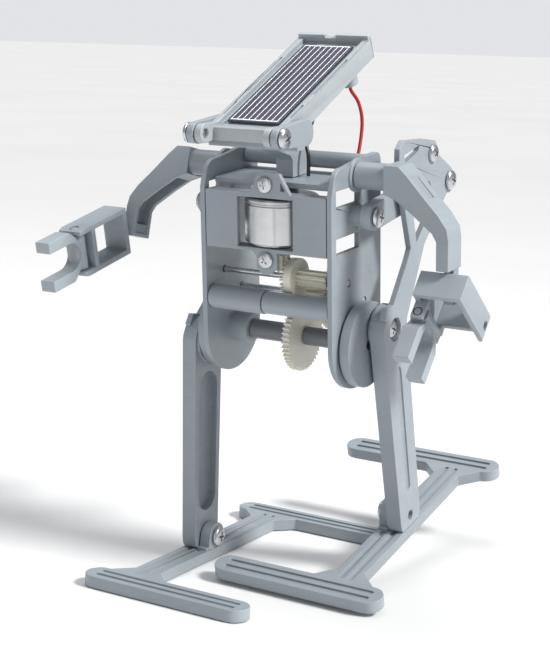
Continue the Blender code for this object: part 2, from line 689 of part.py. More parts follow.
def panel_frame():
    """The tray that holds the cell: floor, deep side walls, lips, hinge lugs and a wire boss."""
    hinge = hinge_in_panel()
    inner = PANEL_HALF - 2.2
    floor = block((-inner - 0.5, 0.4, -3.6), (inner + 0.5, PANEL_LONG - 0.4, -1.6))
    front = block((-inner - 0.7, 0.2, -4.8), (inner + 0.7, 1.8, -0.05))
    back = block((-PANEL_HALF + 0.05, PANEL_LONG - 1.8, -6.9), (PANEL_HALF - 0.05, PANEL_LONG, 1.4))
    tray = join(floor, front, back)
    for side in (-1, 1):
        near, far = sorted((side * inner, side * PANEL_HALF))
        wall = block((near, 0, -7.0), (far, PANEL_LONG - 0.5, 0.02))
        wall = cut(wall, block((near - 1, -2, -9.0), (far + 1, 9.5, -4.0)))
        lug = flat([stadium(hinge, (2.6, -2.4), 3.1, 2.6, 8)], near - 0.15, far + 0.1)
        tray = join(tray, wall, lug)
        tray = cut(tray, rod((side * 9, *hinge), (side * 15, *hinge), 1.6, 12))
        for start, end in ((9.0, 17.0), (24.0, 48.0)):
            low, high = sorted((side * (inner + 0.7), side * (inner + 1.5)))
            tray = cut(tray, block((low, start, -0.9), (high, end, 1.0)))
    notch = block((-3.0, PANEL_LONG - 2.4, 0.2), (1.0, PANEL_LONG + 1, 2.0))
    boss = rod((9.6, 51.0, -10.6), (9.6, 51.0, -3.0), 3.1, 20)
    wire_bore = rod((9.6, 51.0, -12.0), (9.6, 51.0, -8.0), 1.1, 12)
    return cut(join(cut(tray, notch), boss), wire_bore)


def solar_cell():
    slab = block((-9.4, 6.0, -1.3), (9.4, 58.6, -0.5))
    return slab


def panel_bracket():
    """The yoke in front of the neck: a cross bar and two arms that reach the hinge line."""
    bar = block((-16.4, -6.5, 34.4), (16.4, -2.0, 37.5))
    for side in (-1, 1):
        low, high = sorted((side * 14.0, side * 16.4))
        arm = flat([stadium(HINGE, (-0.6, 39.4), 3.4, 4.2, 8)], low, high)
        bar = join(bar, arm)
        bar = cut(bar, rod((side * 13, *HINGE), (side * 18, *HINGE), 1.6, 12))
    return bar


def neck():
    outline = [(13.0, 22.5), (23.6, 22.5), (23.6, 27.2)] + arc((17.6, 27.2), 6.0, 0, 90, 5)
    outline += [(13.0, 33.8), (2.0, 37.4), (-1.6, 37.4), (-1.6, 34.2), (11.0, 30.0), (13.0, 28.0)]
    return flat([outline], -3.2, 3.2)


def wire(points, diameter):
    """A limp wire along a smooth curve through hand-picked points in torso millimetres."""
    path = smooth_path([Vector(p) for p in points], 6)
    curve = bpy.data.curves.new("wire", "CURVE")
    curve.dimensions = "3D"
    curve.bevel_depth = diameter / 2 * MM
    curve.bevel_resolution = 2
    curve.use_fill_caps = True
    spline = curve.splines.new("POLY")
    spline.points.add(len(path) - 1)
    for point, place in zip(spline.points, path):
        point.co = (*(place * MM), 1)
    return evaluated(temporary(curve))


def smooth_path(points, steps):
    """Catmull-Rom points through the given ones."""
    ends = [points[0] * 2 - points[1]] + points + [points[-1] * 2 - points[-2]]
    path = []
    for a, b, c, d in zip(ends, ends[1:], ends[2:], ends[3:]):
        for k in range(steps):
            t = k / steps
            path.append(0.5 * (2 * b + (c - a) * t + (2 * a - 5 * b + 4 * c - d) * t ** 2
                               + (3 * b - a - 3 * c + d) * t ** 3))
    return path + [points[-1]]


RED_ROUTE = [(9.6, 38.9, 51.3), (9.7, 40.4, 48.0), (10.6, 44.0, 43.5), (11.6, 44.6, 37.0),
             (12.4, 41.0, 28.5), (12.6, 36.6, 22.8), (12.6, 30.4, 21.2)]
BLACK_ROUTE = [(2.0, 22.0, 50.1), (3.0, 25.0, 45.0), (3.6, 25.4, 40.0), (3.4, 22.8, 36.0),
               (5.0, 18.6, 33.0), (6.6, 17.0, 29.0), (6.6, 17.0, 22.6)]


def torso_parts(robot, compound):
    left = side_plate(compound)
    robot.add("left_side_plate", left.copy(), GREY)
    right = mirrored(left)
    right = join(right, mirrored(inner_boss()))
    robot.add("right_side_plate", right, GREY)
    robot.add("motor_cover", cover(), GREY)
    robot.add("motor_can", rod((0, CROWN[0], 1.6), (0, CROWN[0], 17.0), CAN_R, 48), STEEL)
    robot.add("motor_end_cap", rod((0, CROWN[0], 17.3), (0, CROWN[0], 19.9), 5.4, 24), DARK_GREY)
    deck = block((-22.3, 5.8, 20.3), (22.3, 30.0, 22.2))
    robot.add("deck_plate", deck, GREY)
    robot.add("neck", neck(), GREY)
    robot.add("panel_bracket", panel_bracket(), GREY)
    robot.add("rear_cross_tube", rod((-22.4, 27.0, 26.6), (22.4, 27.0, 26.6), 2.8), GREY)
    post = (3.9, -17.6)
    robot.add("left_spacer_post", rod((-2.0, *post), (22.4, *post), 3.7, 20), GREY)
    robot.add("right_spacer_post", rod((-22.4, *post), (-2.3, *post), 4.0, 20), GREY)
    for name, place, head in (("upper", (0.4, 21.9), 2.6), ("lower", (0.4, -2.6), 2.4)):
        shank = rod((place[0], -0.6, place[1]), (place[0], 5.0, place[1]), 1.1, 12)
        cap = rod((place[0], -1.2, place[1]), (place[0], -0.3, place[1]), head, 16)
        robot.add(name + "_cover_screw", join(cap, shank), STEEL)


def linkage_parts(robot):
    leg = leg_parts()
    foot = foot_mesh()
    for name, side in SIDES:
        pin = crank_pin(side)
        ankle = on_leg(side, LEFT_ANKLE)
        lever_end = on_leg(side, LEFT_LEVER_END)
        lever_tip = on_leg(side, LEFT_LEVER_TIP)
        robot.add(name + "_crank_disc", crank_disc(side), GREY, (0, *CRANK))
        crank_screw = for_side(side, pan_screw(29.3, 33.3, 35.0, pin))
        robot.add(name + "_crank_screw", crank_screw, STEEL, (0, *CRANK))
        robot.add(name + "_leg", pose_leg(side, leg.copy()), GREY, (0, *pin))
        end_screw = pan_screw(33.0, 35.7, 37.4, lever_end)
        robot.add(name + "_lever_end_screw", for_side(side, end_screw), STEEL, (0, *pin))
        tip_screw = pan_screw(31.6, 35.7, 37.2, lever_tip, head_r=2.9)
        robot.add(name + "_lever_tip_screw", for_side(side, tip_screw), STEEL, (0, *pin))
        link = stadium(ROCKER_PIVOT, lever_end, 4.3, 4.3, 10)
        holes = [circle(ROCKER_PIVOT, 1.8, 12), circle(lever_end, 1.7, 12)]
        rocker = flat([link] + holes, ROCKER_IN, ROCKER_OUT)
        robot.add(name + "_rocker", for_side(side, rocker), GREY, (0, *ROCKER_PIVOT))
        rocker_screw = for_side(side, pan_screw(25.4, 32.7, 34.6, ROCKER_PIVOT))
        robot.add(name + "_rocker_screw", rocker_screw, STEEL, (0, *ROCKER_PIVOT))
        pitch = LEFT_FOOT_PITCH if side > 0 else RIGHT_FOOT_PITCH
        placed = for_side(side, foot.copy())
        placed.transform(
            Matrix.Translation(Vector((side * FOOT_X, *ankle)) * MM) @ Matrix.Rotation(pitch, 4, "X"))
        robot.add(name + "_foot", placed, GREY, (0, *ankle))
        ankle_screw = for_side(side, pan_screw(28.3, 25.3, 23.6, ankle))
        robot.add(name + "_ankle_screw", ankle_screw, STEEL, (0, *ankle))


def arm_parts(robot):
    for name, side in SIDES:
        robot.add(name + "_arm", pose_arm(side, arm_mesh(side)), GREY, (0, *SHOULDER))
    hands(robot)


def panel_parts(robot):
    to_torso = panel_to_torso()
    for name, mesh, finish in (("panel_frame", panel_frame(), GREY), ("solar_cell", solar_cell(), CELL_BLUE)):
        mesh.transform(to_torso)
        robot.add(name, mesh, finish, (0, *HINGE))
    for name, side in SIDES:
        screw = for_side(side, pan_screw(11.8, 16.8, 18.6, HINGE))
        robot.add(name + "_hinge_screw", screw, STEEL, (0, *HINGE))
    robot.add("red_wire", wire(RED_ROUTE, 1.2), RED)
    robot.add("black_wire", wire(BLACK_ROUTE, 1.2), BLACK)


def main():
    clear_scene()
    robot = Robot()
    compound = compound_axis()
    torso_parts(robot, compound)
    drive_train(robot, compound)
    linkage_parts(robot)
    arm_parts(robot)
    panel_parts(robot)


main()
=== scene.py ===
"""The looks of the solar walking robot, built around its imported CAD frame, in metres, +Z up.

Torso millimetres are the part's own working frame: X to the robot's left, Y to its back, Z up, with the
origin at the middle of the lower front edge of the motor cover. The torso leans forward by LEAN.
"""

import json
import math

import bmesh
import bpy
from mathutils import Matrix, Vector


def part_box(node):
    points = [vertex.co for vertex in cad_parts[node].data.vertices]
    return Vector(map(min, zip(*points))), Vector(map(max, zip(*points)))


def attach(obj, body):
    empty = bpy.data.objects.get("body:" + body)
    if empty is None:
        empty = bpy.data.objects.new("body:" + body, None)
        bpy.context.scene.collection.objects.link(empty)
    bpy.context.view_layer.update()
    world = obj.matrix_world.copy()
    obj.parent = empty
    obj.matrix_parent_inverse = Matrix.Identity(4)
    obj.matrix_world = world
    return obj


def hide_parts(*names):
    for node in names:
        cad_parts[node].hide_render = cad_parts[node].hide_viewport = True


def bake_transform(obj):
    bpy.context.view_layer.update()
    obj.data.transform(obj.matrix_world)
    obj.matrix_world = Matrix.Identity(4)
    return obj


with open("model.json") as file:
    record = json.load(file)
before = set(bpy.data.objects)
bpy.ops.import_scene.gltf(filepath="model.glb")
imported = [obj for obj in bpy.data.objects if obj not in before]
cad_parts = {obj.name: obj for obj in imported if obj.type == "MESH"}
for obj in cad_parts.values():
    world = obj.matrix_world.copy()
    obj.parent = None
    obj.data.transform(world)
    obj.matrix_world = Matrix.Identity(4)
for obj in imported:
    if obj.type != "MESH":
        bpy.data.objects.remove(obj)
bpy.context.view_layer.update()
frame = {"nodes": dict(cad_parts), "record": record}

MM = 0.001
RECORD = frame["record"]
BODY_OF = {node: body for body, nodes in RECORD["behaviour"]["bodies"].items() for node in nodes}
SLOT_OF = {part["node"]: part["material_slot"] for part in RECORD["subparts"]}

# The torso frame in the world
LEAN = math.radians(5.2)
CRANK_TORSO = (17.1, -31.1)
PANEL_TILT = math.radians(21.9)
PANEL_FRONT = (-11.9, 41.0)
CELL_LOW = (-9.4, 6.0)
CELL_HIGH = (9.4, 58.6)
CELL_TOP = -0.5
CELL_LINES = 9
MOTOR_AXIS_Y = 11.2
CAN_LOW, CAN_HIGH, CAN_RADIUS = 1.6, 17.0, 12.2
COVER_SCREW_X, COVER_SCREW_SEAT = 0.4, -0.3
COVER_SCREW_HEIGHTS = {"upper_cover_screw": 21.9, "lower_cover_screw": -2.6}

# Finishing: edge radii in millimetres, the rest in metres and radians
EDGE_RADIUS = 0.22
FINE_EDGE_RADIUS = 0.06
BEVEL_ANGLE = math.radians(32.0)
WELD_DISTANCE = 0.000002
FINE_ENDINGS = ("gear", "pinion", "shaft")
REBUILT_NODES = {"motor_can", "motor_end_cap", "solar_cell", "red_wire", "black_wire"}
# The panel frame faces up and is shown in a lighter copy of the grey plastic: painted light on its top
PAINTED_LIT_NODES = {"panel_frame"}

# Camera: the photograph's viewing direction, given in the torso frame
CAMERA_PLACE = (261.2, -426.2, 108.0)
CAMERA_AZIMUTH = math.radians(31.84)
CAMERA_ELEVATION = math.radians(13.77)
CAMERA_ROLL = math.radians(1.01)
CAMERA_LENS = 87.0
CAMERA_SHIFT = (0.028, -0.051)

# Studio
FLOOR_HALF_SIZE = 40.0
FLOOR_DROP = 0.0003
SUN_ENERGY = 3.9
SUN_WIDTH = math.radians(14)
SUN_DIRECTION = (0.72, 0.06, 0.66)
WORLD_LIGHT = 0.36
WORLD_SEEN = 0.80

# Colours, linear
GREY = (0.265, 0.30, 0.33)
# A lighter copy of GREY for up-facing parts: painted light
GREY_PAINTED_LIT = (0.34, 0.375, 0.40)
DARK = (0.115, 0.125, 0.14)
NYLON = (0.74, 0.71, 0.62)
STEEL = (0.62, 0.63, 0.65)
CELL_BLUE = (0.010, 0.012, 0.035)
SILVER = (0.72, 0.73, 0.75)


def torso_matrix():
    """The torso frame's place in the world, from the crank axle's CAD box."""
    low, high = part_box("crank_axle")
    crank = (Vector(low) + Vector(high)) / 2
    turn = Matrix.Rotation(LEAN, 4, "X")
    return Matrix.Translation(crank - turn @ (Vector((0, *CRANK_TORSO)) * MM)) @ turn


TORSO = torso_matrix()


def in_world(point):
    """A point in torso millimetres, in the world's metres."""
    return TORSO @ (Vector(point) * MM)


# ---------------------------------------------------------------- materials


class Painter:
    """A small helper that adds and wires the nodes of one material."""

    def __init__(self, name, roughness, metallic=0.0, specular=0.5):
        self.material = bpy.data.materials.new(name)
        self.material.use_nodes = True
        self.tree = self.material.node_tree
        self.shader = self.tree.nodes["Principled BSDF"]
        self.shader.inputs["Roughness"].default_value = roughness
        self.shader.inputs["Metallic"].default_value = metallic
        self.shader.inputs["Specular IOR Level"].default_value = specular
        coordinates = self.node("ShaderNodeTexCoord")
        self.place = coordinates.outputs["Object"]

    def node(self, kind, **settings):
        made = self.tree.nodes.new(kind)
        for key, value in settings.items():
            if key in made.inputs:
                made.inputs[key].default_value = value
            else:
                setattr(made, key, value)
        return made

    def wire(self, source, target):
        self.tree.links.new(source, target)

    def noise(self, scale, detail=3.0, stretch=(1.0, 1.0, 1.0)):
        mapping = self.node("ShaderNodeMapping")
        mapping.inputs["Scale"].default_value = stretch
        self.wire(self.place, mapping.inputs["Vector"])
        noise = self.node("ShaderNodeTexNoise", Scale=scale, Detail=detail, Roughness=0.55)
        self.wire(mapping.outputs["Vector"], noise.inputs["Vector"])
        return noise.outputs["Fac"]

    def ramp(self, value, low, high, first, last):
        ramp = self.node("ShaderNodeValToRGB")
        ramp.color_ramp.elements[0].position = low
        ramp.color_ramp.elements[1].position = high
        ramp.color_ramp.elements[0].color = (*first, 1.0)
        ramp.color_ramp.elements[1].color = (*last, 1.0)
        self.wire(value, ramp.inputs["Fac"])
        return ramp.outputs["Color"]

    def mix(self, share, first, last):
        mix = self.node("ShaderNodeMix", data_type="RGBA")
        self.wire(share, mix.inputs["Factor"])
        self.wire(first, mix.inputs["A"])
        self.wire(last, mix.inputs["B"])
        return mix.outputs["Result"]

    def spread(self, value, low, high):
        """A 0 to 1 value as a plain number between low and high."""
        spread = self.node("ShaderNodeMapRange")
        spread.inputs["To Min"].default_value = low
        spread.inputs["To Max"].default_value = high
        self.wire(value, spread.inputs["Value"])
        return spread.outputs["Result"]

    def bump(self, height, strength, distance):
        bump = self.node("ShaderNodeBump", Strength=strength, Distance=distance)
        self.wire(height, bump.inputs["Height"])
        self.wire(bump.outputs["Normal"], self.shader.inputs["Normal"])

    def edges(self, low=0.505, high=0.60):
        """1 on raised edges, 0 on flats, from the geometry's pointiness; the mask of the painted edge
        highlight.
        """
        geometry = self.node("ShaderNodeNewGeometry")
        return self.ramp(geometry.outputs["Pointiness"], low, high, (0, 0, 0), (1, 1, 1))

    def colour(self, source):
        self.wire(source, self.shader.inputs["Base Color"])

    def roughness(self, source):
        self.wire(source, self.shader.inputs["Roughness"])


def scaled(colour, share):
    return tuple(channel * share for channel in colour)


def moulded(name, colour, roughness, grain=0.25, edge=1.35, coat=0.0):
    """Injection-moulded plastic: cloudy pigment, faint flow lines, spark-eroded grain, scuffs, and raised
    edges lightened as a painted highlight.
    """
    paint = Painter(name, roughness, specular=0.55)
    clouds = paint.ramp(paint.noise(70, 4), 0.35, 0.7, scaled(colour, 0.90), scaled(colour, 1.10))
    flow = paint.ramp(
        paint.noise(60, 2, (1.0, 1.0, 6.0)), 0.42, 0.62, scaled(colour, 0.96), scaled(colour, 1.05))
    blend = paint.mix(paint.noise(35, 1), clouds, flow)
    scuffs = paint.ramp(paint.noise(420, 5), 0.60, 0.72, (0, 0, 0), (0.35, 0.35, 0.35))
    # One lighter colour serves both the scuff marks and the painted highlight along raised edges
    scuff_and_edge_highlight = paint.node("ShaderNodeRGB")
    scuff_and_edge_highlight.outputs[0].default_value = (*[min(1.0, c * edge) for c in colour], 1.0)
    scuffed = paint.mix(scuffs, blend, scuff_and_edge_highlight.outputs[0])
    # Raised edges, found by pointiness, take the lighter colour: a painted highlight
    paint.colour(paint.mix(paint.edges(), scuffed, scuff_and_edge_highlight.outputs[0]))
    paint.roughness(paint.spread(paint.noise(260, 4), roughness - 0.09, roughness + 0.11))
    paint.bump(paint.noise(3200, 2), grain, 0.00006)
    if coat:
        paint.shader.inputs["Coat Weight"].default_value = coat
        paint.shader.inputs["Coat Roughness"].default_value = 0.25
    return paint.material


def metal(name, colour, roughness, brushing=(1.0, 1.0, 1.0)):
    """Plated steel: fine turning marks, smudges that dull it in patches, and raised edges lightened as a
    painted highlight.
    """
    paint = Painter(name, roughness, metallic=1.0)
    smudge = paint.noise(180, 4)
    dull = paint.ramp(smudge, 0.35, 0.7, scaled(colour, 0.82), colour)
    # Raised edges take a brighter colour: a painted highlight
    edge_highlight_colour = paint.node("ShaderNodeRGB")
    edge_highlight_colour.outputs[0].default_value = (*[min(1.0, c * 1.25) for c in colour], 1.0)
    paint.colour(paint.mix(paint.edges(0.51, 0.62), dull, edge_highlight_colour.outputs[0]))
    paint.roughness(paint.spread(smudge, roughness - 0.06, roughness + 0.14))
    paint.bump(paint.noise(900, 3, brushing), 0.12, 0.00004)
    return paint.material


def cell_material():
    """Dark silicon under a glossy laminate: crystal mottling and a faint violet cast."""
    paint = Painter("silicon_cell", 0.22, specular=0.6)
    crystals = paint.node("ShaderNodeTexVoronoi", Scale=240.0)
    paint.wire(paint.place, crystals.inputs["Vector"])
    tone = paint.ramp(crystals.outputs["Distance"], 0.1, 0.9, CELL_BLUE, scaled(CELL_BLUE, 2.4))
    violet = paint.ramp(paint.noise(45, 3), 0.4, 0.65, CELL_BLUE, (0.026, 0.018, 0.050))
    paint.colour(paint.mix(paint.noise(90, 2), tone, violet))
    paint.roughness(paint.spread(paint.noise(320, 4), 0.14, 0.30))
    paint.bump(paint.noise(150, 2), 0.06, 0.0001)
    paint.shader.inputs["Coat Weight"].default_value = 1.0
    paint.shader.inputs["Coat Roughness"].default_value = 0.06
    return paint.material


def wire_material(name, colour):
    """Soft PVC insulation with a slight sheen and fine extrusion marks."""
    paint = Painter(name, 0.36, specular=0.55)
    paint.colour(paint.ramp(paint.noise(160, 3), 0.35, 0.7, scaled(colour, 0.8), scaled(colour, 1.15)))
    paint.roughness(paint.spread(paint.noise(500, 3), 0.28, 0.46))
    paint.bump(paint.noise(1500, 2, (4.0, 4.0, 0.4)), 0.12, 0.00005)
    return paint.material


def floor_material():
    paint = Painter("studio_floor", 0.75, specular=0.25)
    paint.colour(paint.ramp(paint.noise(3, 4), 0.3, 0.7, (0.74, 0.745, 0.75), (0.78, 0.785, 0.79)))
    paint.bump(paint.noise(500, 2), 0.04, 0.0002)
    return paint.material


PLASTIC = moulded("grey_plastic", GREY, 0.40)
# The lighter copy of the grey plastic, for the up-facing panel frame: painted light
PLASTIC_PAINTED_LIT = moulded("grey_plastic_painted_lit", GREY_PAINTED_LIT, 0.38)
PLASTIC_DARK = moulded("dark_plastic", DARK, 0.36, grain=0.18, edge=1.6)
NYLON_PAINT = moulded("natural_nylon", NYLON, 0.42, grain=0.12, edge=1.12, coat=0.15)
STEEL_PAINT = metal("plated_steel", STEEL, 0.24)
CAN_PAINT = metal("motor_can_steel", (0.60, 0.61, 0.62), 0.30, (0.3, 0.3, 8.0))
SILVER_PAINT = metal("silver_lines", SILVER, 0.35)
CELL_PAINT = cell_material()
RED_PAINT = wire_material("red_pvc", (0.52, 0.02, 0.02))
BLACK_PAINT = wire_material("black_pvc", (0.012, 0.012, 0.014))

PAINT_OF_SLOT = {
    "grey_plastic": PLASTIC, "dark_plastic": PLASTIC_DARK, "nylon": NYLON_PAINT,
    "steel": STEEL_PAINT, "cell": CELL_PAINT, "red_pvc": RED_PAINT, "black_pvc": BLACK_PAINT}


# ---------------------------------------------------------------- pieces


def new_piece(name, mesh, material):
    mesh.materials.clear()
    mesh.materials.append(material)
    piece = bpy.data.objects.new(name, mesh)
    bpy.context.scene.collection.objects.link(piece)
    return piece


def stand_for(piece, node):
    """The piece rides on its node's body and hides the plain CAD node."""
    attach(piece, BODY_OF[node])
    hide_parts(node)
    return piece


def softened(piece, width, segments=2):
    """Rounds a piece's sharp edges as a mould does, and shades its flats flat."""
    bevel = piece.modifiers.new("mould_radius", "BEVEL")
    bevel.width = width * MM
    bevel.segments = segments
    bevel.limit_method = "ANGLE"
    bevel.angle_limit = BEVEL_ANGLE
    bevel.use_clamp_overlap = False
    bevel.miter_outer = "MITER_ARC"
    shading = piece.modifiers.new("flat_faces", "WEIGHTED_NORMAL")
    shading.keep_sharp = False
    piece.data.shade_smooth()
    return piece


def clean_copy(node):
    """A copy of a CAD node's mesh, its shared corners welded so that its edges can be rounded."""
    shape = bmesh.new()
    shape.from_mesh(frame["nodes"][node].data)
    bmesh.ops.remove_doubles(shape, verts=shape.verts, dist=WELD_DISTANCE)
    bmesh.ops.join_triangles(
        shape, faces=shape.faces, angle_face_threshold=math.radians(0.5),
        angle_shape_threshold=math.radians(120))
    mesh = bpy.data.meshes.new(node + "_finished")
    shape.to_mesh(mesh)
    shape.free()
    return mesh


def finish_node(node, material, radius):
    """Shows a CAD node as a finished moulding or machining: the same shape with softened edges."""
    piece = new_piece(node + "_finished", clean_copy(node), material)
    softened(piece, radius)
    return stand_for(piece, node)


def turned_mesh(name, profile, steps=48):
    """A closed solid of revolution about +Z from (radius, height) points in millimetres."""
    shape = bmesh.new()
    points = [shape.verts.new((radius * MM, 0, height * MM)) for radius, height in profile]
    edges = [shape.edges.new(pair) for pair in zip(points, points[1:])]
    bmesh.ops.spin(
        shape, geom=points + edges, cent=(0, 0, 0), axis=(0, 0, 1),
        angle=2 * math.pi, steps=steps, use_duplicate=False)
    bmesh.ops.remove_doubles(shape, verts=shape.verts, dist=0.000004)
    bmesh.ops.recalc_face_normals(shape, faces=shape.faces)
    mesh = bpy.data.meshes.new(name)
    shape.to_mesh(mesh)
    shape.free()
    mesh.shade_smooth()
    return mesh


def box_mesh(name, low, high):
    """A box from two corners in metres."""
    shape = bmesh.new()
    size = Vector(high) - Vector(low)
    middle = (Vector(high) + Vector(low)) / 2
    matrix = Matrix.Translation(middle) @ Matrix.Diagonal((*size, 1))
    bmesh.ops.create_cube(shape, size=1.0, matrix=matrix)
    mesh = bpy.data.meshes.new(name)
    shape.to_mesh(mesh)
    shape.free()
    return mesh


def carve(base, cutter):
    """Cuts one mesh out of another and returns the result."""
    body = bpy.data.objects.new("carved", base)
    tool = bpy.data.objects.new("carver", cutter)
    for thing in (body, tool):
        bpy.context.scene.collection.objects.link(thing)
    cut = body.modifiers.new("cut", "BOOLEAN")
    cut.operation = "DIFFERENCE"
    cut.object = tool
    bpy.context.view_layer.update()
    mesh = bpy.data.meshes.new_from_object(body.evaluated_get(bpy.context.evaluated_depsgraph_get()))
    bpy.data.objects.remove(body, do_unlink=True)
    bpy.data.objects.remove(tool, do_unlink=True)
    return mesh


def aim(direction, place):
    """A matrix that turns +Z to a direction and moves the origin to a place."""
    turn = Vector(direction).to_track_quat("Z", "Y").to_matrix().to_4x4()
    return Matrix.Translation(place) @ turn


def screw_mesh(name, head_r, head_h, shank_r, shank_l, turn):
    """A pan-head screw with a domed head, a cross recess and a threaded shank, head towards +Z."""
    dome = [(head_r * math.cos(a), head_h * (0.35 + 0.65 * math.sin(a)))
            for a in [math.radians(90 * k / 8) for k in range(9)]]
    threads = []
    count = max(2, int(shank_l / 0.7))
    for k in range(count):
        base = -shank_l + k * shank_l / count
        threads += [(shank_r * 0.82, base + 0.05), (shank_r, base + 0.35 * shank_l / count)]
    profile = [(0, -shank_l - 0.01)] + threads + [(shank_r * 0.82, -0.02), (shank_r, 0)]
    profile += [(head_r * 0.94, 0), (head_r, head_h * 0.12)] + dome[:-1] + [(0, head_h)]
    head = turned_mesh(name, profile, 32)
    depth = 0.62 * head_h
    for quarter in (0, math.pi / 2):
        arm = box_mesh(
            "recess", (-head_r * 0.50 * MM, -head_r * 0.095 * MM, (head_h - depth) * MM),
            (head_r * 0.50 * MM, head_r * 0.095 * MM, (head_h + 1) * MM))
        arm.transform(Matrix.Rotation(turn + quarter, 4, "Z"))
        head = carve(head, arm)
    head.name = name
    head.shade_smooth()
    head.set_sharp_from_angle(angle=math.radians(38))
    return head


def screws():
    """A detailed screw for every plain one in the frame."""
    turn = 0.35
    for node in sorted(n for n in BODY_OF if n.endswith("_screw")):
        low, high = (Vector(corner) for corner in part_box(node))
        middle = (low + high) / 2
        outward = 1 if node.startswith("left") else -1
        if "ankle" in node:
            outward = -outward
        if "cover" in node:
            direction = TORSO.to_3x3() @ Vector((0, -1, 0))
            head_r, head_h, shank, length = 2.6, 1.0, 1.1, 5.2
            place = in_world((COVER_SCREW_X, COVER_SCREW_SEAT, COVER_SCREW_HEIGHTS[node]))
        else:
            direction = Vector((outward, 0, 0))
            head_r = (high.z - low.z) / 2 / MM
            head_h = 1.75
            tip = high.x if outward > 0 else low.x
            place = Vector((tip - outward * head_h * MM, middle.y, middle.z))
            length = (high.x - low.x) / MM - head_h
            shank = 1.3
        mesh = screw_mesh(node + "_detailed", head_r, head_h, shank, length, turn)
        mesh.transform(aim(direction, place))
        stand_for(new_piece(node + "_detailed", mesh, STEEL_PAINT), node)
        turn += 0.83


def motor():
    """The can with its rolled ends, seam and vents, and the end cap with its recess."""
    low_z, high_z, radius = CAN_LOW, CAN_HIGH, CAN_RADIUS
    profile = [(0, low_z), (radius - 1.3, low_z), (radius - 0.5, low_z + 0.2), (radius, low_z + 0.9)]
    profile += [(radius, high_z - 2.4), (radius - 0.25, high_z - 2.1), (radius - 0.25, high_z - 1.7)]
    profile += [(radius, high_z - 1.4), (radius - 0.1, high_z - 0.6), (radius - 0.7, high_z - 0.1)]
    profile += [(radius - 1.6, high_z), (0, high_z)]
    can = turned_mesh("motor_can_detailed", profile, 96)
    for angle in (-2.35, -0.62, 1.1):
        slot = box_mesh(
            "vent", (10.2 * MM, -1.8 * MM, (low_z - 1) * MM),
            (14 * MM, 1.8 * MM, (low_z + 1.5) * MM))
        slot.transform(Matrix.Rotation(angle, 4, "Z"))
        can = carve(can, slot)
    seam = box_mesh("seam", ((radius - 0.15) * MM, -0.08 * MM, 0.0), (14 * MM, 0.08 * MM, 14.2 * MM))
    seam.transform(Matrix.Rotation(-1.25, 4, "Z"))
    can = carve(can, seam)
    can.shade_smooth()
    can.set_sharp_from_angle(angle=math.radians(30))
    axis = Matrix.Translation(Vector((0, MOTOR_AXIS_Y, 0)) * MM)
    can.transform(TORSO @ axis)
    stand_for(new_piece("motor_can_detailed", can, CAN_PAINT), "motor_can")
    cap_profile = [(0, 17.3), (5.1, 17.3), (5.4, 17.6), (5.4, 19.3), (5.1, 19.7), (3.4, 19.9)]
    cap_profile += [(3.1, 19.5), (1.6, 19.5), (1.5, 19.9), (0, 19.9)]
    cap = turned_mesh("motor_end_cap_detailed", cap_profile, 48)
    cap.set_sharp_from_angle(angle=math.radians(30))
    cap.transform(TORSO @ axis)
    stand_for(new_piece("motor_end_cap_detailed", cap, PLASTIC_DARK), "motor_end_cap")


def panel_matrix():
    """The panel's place in the world: its front edge on the hinge, tilted back."""
    return TORSO @ Matrix.Translation(Vector((0, *PANEL_FRONT)) * MM) @ Matrix.Rotation(PANEL_TILT, 4, "X")


def add_box(shape, low, high):
    """Adds a box to a shape from two corners in millimetres."""
    size = (Vector(high) - Vector(low)) * MM
    middle = (Vector(high) + Vector(low)) / 2 * MM
    matrix = Matrix.Translation(middle) @ Matrix.Diagonal((*size, 1))
    bmesh.ops.create_cube(shape, size=1.0, matrix=matrix)


def solar_cell():
    """The laminate, with the silver lines along it and a bar across each end."""
    low, high = CELL_LOW, CELL_HIGH
    slab = new_piece("solar_cell_laminate", clean_copy("solar_cell"), CELL_PAINT)
    softened(slab, 0.15)
    stand_for(slab, "solar_cell")
    lines = bmesh.new()
    for k in range(CELL_LINES):
        middle = low[0] + (high[0] - low[0]) * (k + 0.5) / CELL_LINES
        add_box(lines, (middle - 0.13, low[1] + 0.8, CELL_TOP - 0.1),
                (middle + 0.13, high[1] - 0.8, CELL_TOP + 0.05))
    for along in (low[1] + 0.9, high[1] - 0.9):
        add_box(lines, (low[0] + 0.8, along - 0.28, CELL_TOP - 0.1),
                (high[0] - 0.8, along + 0.28, CELL_TOP + 0.06))
    mesh = bpy.data.meshes.new("solar_cell_fingers")
    lines.to_mesh(mesh)
    lines.free()
    mesh.transform(panel_matrix())
    fingers = softened(new_piece("solar_cell_fingers", mesh, SILVER_PAINT), 0.03, 1)
    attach(fingers, BODY_OF["solar_cell"])


RED_ROUTE = [(9.6, 38.9, 51.3), (9.7, 40.4, 48.0), (10.6, 44.0, 43.5), (11.6, 44.6, 37.0),
             (12.4, 41.0, 28.5), (12.6, 36.6, 22.8), (12.6, 30.4, 21.2)]
BLACK_ROUTE = [(2.0, 22.0, 50.1), (3.0, 25.0, 45.0), (3.6, 25.4, 40.0), (3.4, 22.8, 36.0),
               (5.0, 18.6, 33.0), (6.6, 17.0, 29.0), (6.6, 17.0, 22.6)]
WIRE_DIAMETER = 1.2


def smooth_path(points, steps):
    """Catmull-Rom points through the given ones, as the CAD wires follow."""
    ends = [points[0] * 2 - points[1]] + points + [points[-1] * 2 - points[-2]]
    path = []
    for a, b, c, d in zip(ends, ends[1:], ends[2:], ends[3:]):
        for k in range(steps):
            t = k / steps
            path.append(0.5 * (2 * b + (c - a) * t + (2 * a - 5 * b + 4 * c - d) * t ** 2
                               + (3 * b - a - 3 * c + d) * t ** 3))
    return path + [points[-1]]


